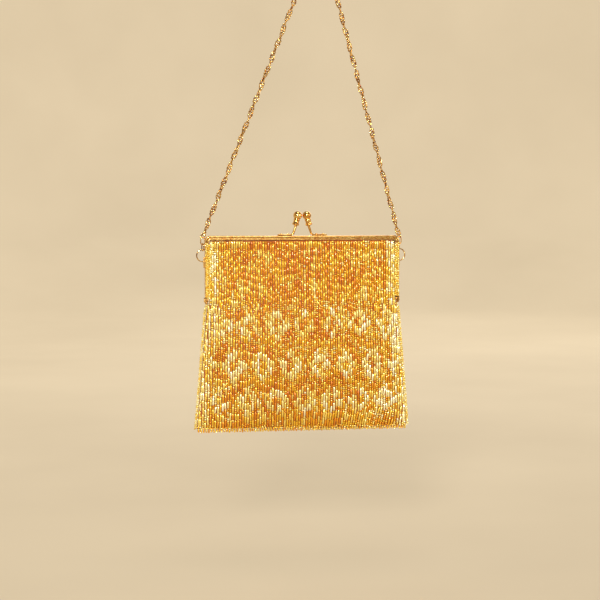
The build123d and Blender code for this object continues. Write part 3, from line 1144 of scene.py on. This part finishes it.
@dataclass
class ClaspBells:
    """The turned bell between each clasp's ball and its arm.

    outline holds (distance from the ball's middle, radius) from the ball down to the arm.
    """

    outline: tuple[tuple[float, float], ...] = tuple(
        (along * MM, radius * MM) for along, radius in (
            (2.6, 1.5), (3.0, 2.5), (3.6, 2.75), (4.3, 2.65), (4.9, 2.4), (6.0, 2.45),
            (7.0, 2.7), (7.7, 3.0), (8.1, 3.0), (8.4, 2.55), (8.6, 1.8), (9.0, 1.3)))

    def build(self, finishes: Finishes) -> None:
        """Turns both bells.

        Args:
            finishes: The bag's finishes.
        """
        for half in ("front", "back"):
            ball, collar = (sum(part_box(f"{half}_clasp_{part}"), Vector()) / 2
                            for part in ("ball", "collar"))
            shape = bmesh.new()
            verts = [shape.verts.new((radius, 0, -along)) for along, radius in self.outline]
            edges = [shape.edges.new(pair) for pair in zip(verts, verts[1:])]
            bmesh.ops.spin(shape, geom=verts + edges, cent=(0, 0, 0), axis=(0, 0, 1),
                           dvec=(0, 0, 0), angle=2 * math.pi, steps=36, use_merge=True)
            bmesh.ops.holes_fill(shape, edges=[e for e in shape.edges if e.is_boundary])
            bmesh.ops.recalc_face_normals(shape, faces=shape.faces)
            bmesh.ops.transform(shape, verts=shape.verts,
                                matrix=Matrix.Translation(ball) @ turned(ball - collar))
            bell = new_piece(f"{half}_clasp_bell", shape, finishes.clasp_gold,
                             f"{half}_clasp")
            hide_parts(f"{half}_clasp_collar")


@dataclass
class ArmEdging:
    """Pale seed beads whipped over the inner part of each frame arm, front and back."""

    form: BagForm
    rim: float = 0.3 * MM
    rows: int = 3
    row_gap: float = 1.3 * MM
    pitch: float = 1.42 * MM
    start: float = 6.4 * MM
    end: float = 52.2 * MM

    def build(self, finishes: Finishes) -> None:
        """Sews both arms of both halves.

        Args:
            finishes: The bag's finishes.
        """
        draw = random.Random(61)
        bead = BeadKind(0.72 * MM, 1.3 * MM, 0.34 * MM)
        for side in Side:
            half = side.name.lower()
            low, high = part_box(f"{half}_frame")
            face = low.y if side is Side.FRONT else high.y
            for sign, name in ((-1, "left"), (1, "right")):
                shape = bmesh.new()
                edge = low.x if sign < 0 else high.x
                for row in range(self.rows):
                    drop = self.start + row * 0.7 * MM
                    while drop < self.end:
                        across = edge - sign * (self.rim + 0.62 * MM + row * self.row_gap)
                        spot = Vector((across + draw.gauss(0, 0.07) * MM,
                                       face + side.value * 0.55 * MM, self.form.top - drop))
                        way = Vector((draw.gauss(0.45 * sign, 0.12), 0, 1))
                        bead.stamp(shape, Matrix.Translation(spot) @ turned(way),
                                   draw.uniform(0.5, 0.82))
                        drop += self.pitch * draw.uniform(0.98, 1.12)
                new_piece(f"{half}_{name}_arm_beads", shape, finishes.beads, f"{half}_half")


@dataclass
class FrameRidges:
    """Half-round ridges along the top of each frame half and round its corners.

    ridges holds (depth from the frame's outer edge, radius).
    """

    ridges: tuple[tuple[float, float], ...] = (
        (0.8 * MM, 0.46 * MM), (2.15 * MM, 0.4 * MM), (3.25 * MM, 0.26 * MM))
    corner: float = 4.5 * MM
    proud: float = 0.06 * MM
    foot: float = 6.2 * MM

    def build(self, finishes: Finishes) -> None:
        """Runs the ridges on both halves.

        Args:
            finishes: The bag's finishes.
        """
        for side in Side:
            half = side.name.lower()
            low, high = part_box(f"{half}_frame")
            y = (low.y if side is Side.FRONT else high.y) + side.value * self.proud
            parts = [self.ridge(low, high, y, depth, radius) for depth, radius in self.ridges]
            new_piece(f"{half}_frame_ridges", joined(parts), finishes.ridge_gold,
                      f"{half}_half")

    def ridge(self, low: Vector, high: Vector, y: float, depth: float,
              radius: float) -> bmesh.types.BMesh:
        """Draws one ridge from the left arm over the top to the right one.

        Args:
            low: The frame's low corner.
            high: Its high corner.
            y: The plane of the ridge's middle.
            depth: How far its middle lies inside the frame's outer edge.
            radius: Its radius.

        Returns:
            The ridge, closed at both ends.
        """
        shape = bmesh.new()
        ring = bmesh.ops.create_circle(shape, cap_ends=False, segments=10, radius=radius)
        bmesh.ops.translate(shape, verts=ring["verts"],
                            vec=(low.x + depth, y, high.z - self.foot))
        edges = shape.edges[:]
        down = Vector((0, 0, self.foot - self.corner))
        edges = self.run(shape, edges, down)
        edges = self.bend(shape, edges, (low.x + self.corner, y, high.z - self.corner))
        across = Vector((high.x - low.x - 2 * self.corner, 0, 0))
        edges = self.run(shape, edges, across)
        edges = self.bend(shape, edges, (high.x - self.corner, y, high.z - self.corner))
        self.run(shape, edges, -down)
        bmesh.ops.holes_fill(shape, edges=[e for e in shape.edges if e.is_boundary])
        bmesh.ops.recalc_face_normals(shape, faces=shape.faces)
        return shape

    def run(self, shape: bmesh.types.BMesh, edges: list[bmesh.types.BMEdge],
            way: Vector) -> list[bmesh.types.BMEdge]:
        """Draws a ring of edges straight along a way and returns the new end."""
        made = bmesh.ops.extrude_edge_only(shape, edges=edges)["geom"]
        verts = [part for part in made if isinstance(part, bmesh.types.BMVert)]
        bmesh.ops.translate(shape, verts=verts, vec=way)
        return [part for part in made if isinstance(part, bmesh.types.BMEdge)
                and all(vertex in verts for vertex in part.verts)]

    def bend(self, shape: bmesh.types.BMesh, edges: list[bmesh.types.BMEdge],
             centre: Sequence[float]) -> list[bmesh.types.BMEdge]:
        """Draws a ring of edges round a corner and returns the new end."""
        made = bmesh.ops.spin(shape, geom=edges, cent=centre, axis=(0, 1, 0), dvec=(0, 0, 0),
                              angle=math.pi / 2, steps=8, use_duplicate=False)["geom_last"]
        return [part for part in made if isinstance(part, bmesh.types.BMEdge)]


class MetalWork:
    """The frame, clasp, rings and links, whose CAD shapes stay."""

    def build(self, finishes: Finishes) -> None:
        """Dresses the metal.

        Args:
            finishes: The bag's finishes.
        """
        dress(("front_frame", "back_frame"), finishes.frame_gold)
        dress([f"{half}_clasp_{part}" for half in ("front", "back")
               for part in ("tab", "arm", "collar", "ball")], finishes.clasp_gold)
        dress(("front_clasp_rivets", "back_clasp_rivets", "left_hinge_pin", "right_hinge_pin"),
              finishes.rivet_gold)
        dress([f"{side}_{part}" for side in ("left", "right")
               for part in ("lower_link", "upper_link", "strap_ring")], finishes.chain_gold)
        dress(("left_ring_lug", "right_ring_lug"), finishes.frame_gold)
        dress(("front_paper_cord", "back_paper_cord"), finishes.paper)


# ---------------------------------------------------------------------------------------------
# Studio
# ---------------------------------------------------------------------------------------------


@dataclass
class Studio:
    """A plain pale floor and wall, soft lights and the camera."""

    form: BagForm
    lens: float = 85.0
    distance: float = 1.2
    azimuth: float = math.radians(-8.0)
    camera_rise: float = 91.0 * MM
    aim_across: float = -2.2 * MM
    aim_drop: float = 54.7 * MM
    stage_radius: float = 3.2
    stage_height: float = 3.6
    clearance: float = 0.12
    front_glow: float = 0.42
    back_glow: float = 1.08

    def build(self) -> None:
        """Sets up the scene."""
        self.backdrop()
        self.lights()
        self.camera()

    def backdrop(self) -> None:
        """Makes a round floor that curves up into a wall all round, and glows a little as painted
        light that is dimmer at the front than at the back.
        """
        shape = bmesh.new()
        profile = [(self.stage_radius, self.stage_height), (self.stage_radius, 1.2),
                   (self.stage_radius - 0.08, 0.62), (self.stage_radius - 0.34, 0.2),
                   (self.stage_radius - 0.8, 0.03), (self.stage_radius - 1.2, 0.0), (0.02, 0.0)]
        floor_z = CAD_LOW.z - self.clearance
        verts = [shape.verts.new((x, 0, floor_z + z)) for x, z in profile]
        edges = [shape.edges.new(pair) for pair in zip(verts, verts[1:])]
        bmesh.ops.spin(shape, geom=verts + edges, cent=(0, 0, 0), axis=(0, 0, 1),
                       dvec=(0, 0, 0), angle=2 * math.pi, steps=64, use_merge=True)
        rim = [edge for edge in shape.edges if edge.is_boundary
               and edge.verts[0].co.z < floor_z + 0.01]
        bmesh.ops.contextual_create(shape, geom=rim)
        mesh = bpy.data.meshes.new("studio_floor")
        shape.to_mesh(mesh)
        shape.free()
        for face in mesh.polygons:
            face.use_smooth = True
        bench = NodeBench("pale_glowing_paper")
        # paper is the tint of the stage's glow, painted light that grows from the front to the
        # back.
        paper = bench.ramp(bench.noise(3.0), [
            (0.3, srgb(192, 176, 148)), (0.7, srgb(197, 181, 153))])
        bench.feed("Base Color", bench.ramp(bench.noise(3.0), [
            (0.3, srgb(128, 117, 98)), (0.7, srgb(134, 123, 103))]))
        bench.feed("Emission Color", paper)
        split = bench.nodes.new("ShaderNodeSeparateXYZ")
        bench.links.new(bench.place, split.inputs[0])
        glow = bench.nodes.new("ShaderNodeMapRange")
        glow.interpolation_type = "SMOOTHSTEP"
        for name, value in (("From Min", -1.5), ("From Max", 1.8),
                            ("To Min", self.front_glow), ("To Max", self.back_glow)):
            glow.inputs[name].default_value = value
        bench.links.new(split.outputs["Y"], glow.inputs["Value"])
        bench.feed("Emission Strength", glow.outputs["Result"])
        bench.set(Roughness=0.9)
        mesh.materials.append(bench.material)
        floor = bpy.data.objects.new("studio_floor", mesh)
        bpy.context.scene.collection.objects.link(floor)

    def light(self, name: str, spot: Sequence[float], size: float, power: float,
              colour: Colour) -> None:
        """Adds a square soft light that faces the bag.

        Args:
            name: The light's name.
            spot: Its place from the frame's top.
            size: Its side.
            power: Its power in watts.
            colour: Its colour.
        """
        data = bpy.data.lights.new(name, "AREA")
        data.size, data.energy, data.color = size, power, colour
        lamp = bpy.data.objects.new(name, data)
        target = Vector((self.form.middle, self.form.parting, self.form.top - 0.06))
        lamp.location = target + Vector(spot)
        lamp.rotation_mode = "QUATERNION"
        lamp.rotation_quaternion = (target - lamp.location).to_track_quat("-Z", "Y")
        bpy.context.scene.collection.objects.link(lamp)

    def lights(self) -> None:
        """Adds a key, a wide wash in front, a rear light, a fill and a top light."""
        warm, plain = (1.0, 0.96, 0.9), (1.0, 0.985, 0.96)
        self.light("key", (-0.42, -1.55, 0.65), 0.3, 27.0, warm)
        self.light("wash", (-0.1, -2.2, 0.8), 1.2, 9.5, plain)
        self.light("rear", (0.8, 1.9, 0.8), 1.4, 8.0, plain)
        self.light("fill", (1.3, -0.9, 0.4), 0.5, 7.0, plain)
        self.light("top", (0.1, -0.2, 1.4), 0.7, 9.0, warm)
        world = bpy.data.worlds.new("soft_room")
        world.use_nodes = True
        room = world.node_tree.nodes["Background"]
        room.inputs["Color"].default_value = (*srgb(240, 228, 208), 1.0)
        room.inputs["Strength"].default_value = 0.22
        bpy.context.scene.world = world
        bpy.context.scene.view_settings.view_transform = "Standard"

    def camera(self) -> None:
        """Places the camera."""
        data = bpy.data.cameras.new("camera")
        data.lens = self.lens
        camera = bpy.data.objects.new("camera", data)
        aim = Vector((self.form.middle + self.aim_across, self.form.parting,
                      self.form.top - self.aim_drop))
        back = Vector((math.sin(self.azimuth), -math.cos(self.azimuth), 0))
        camera.location = aim + back * self.distance + Vector((0, 0, self.camera_rise))
        camera.rotation_mode = "QUATERNION"
        camera.rotation_quaternion = (aim - camera.location).to_track_quat("-Z", "Y")
        bpy.context.scene.collection.objects.link(camera)
        bpy.context.scene.camera = camera


def main() -> None:
    """Builds the bag and its studio."""
    logging.basicConfig(level=logging.INFO, format="%(name)s %(message)s")
    form = BagForm.from_frame()
    finishes = Finishes()
    Studio(form).build()
    TwistedChain().build(finishes)
    MetalWork().build(finishes)
    ClaspRoots().build(finishes)
    ClaspBells().build(finishes)
    FrameRidges().build(finishes)
    ArmEdging(form).build(finishes)
    Pouch(form).build(finishes)
    LiningSet(form).build(finishes)


if __name__ == "__main__":
    main()
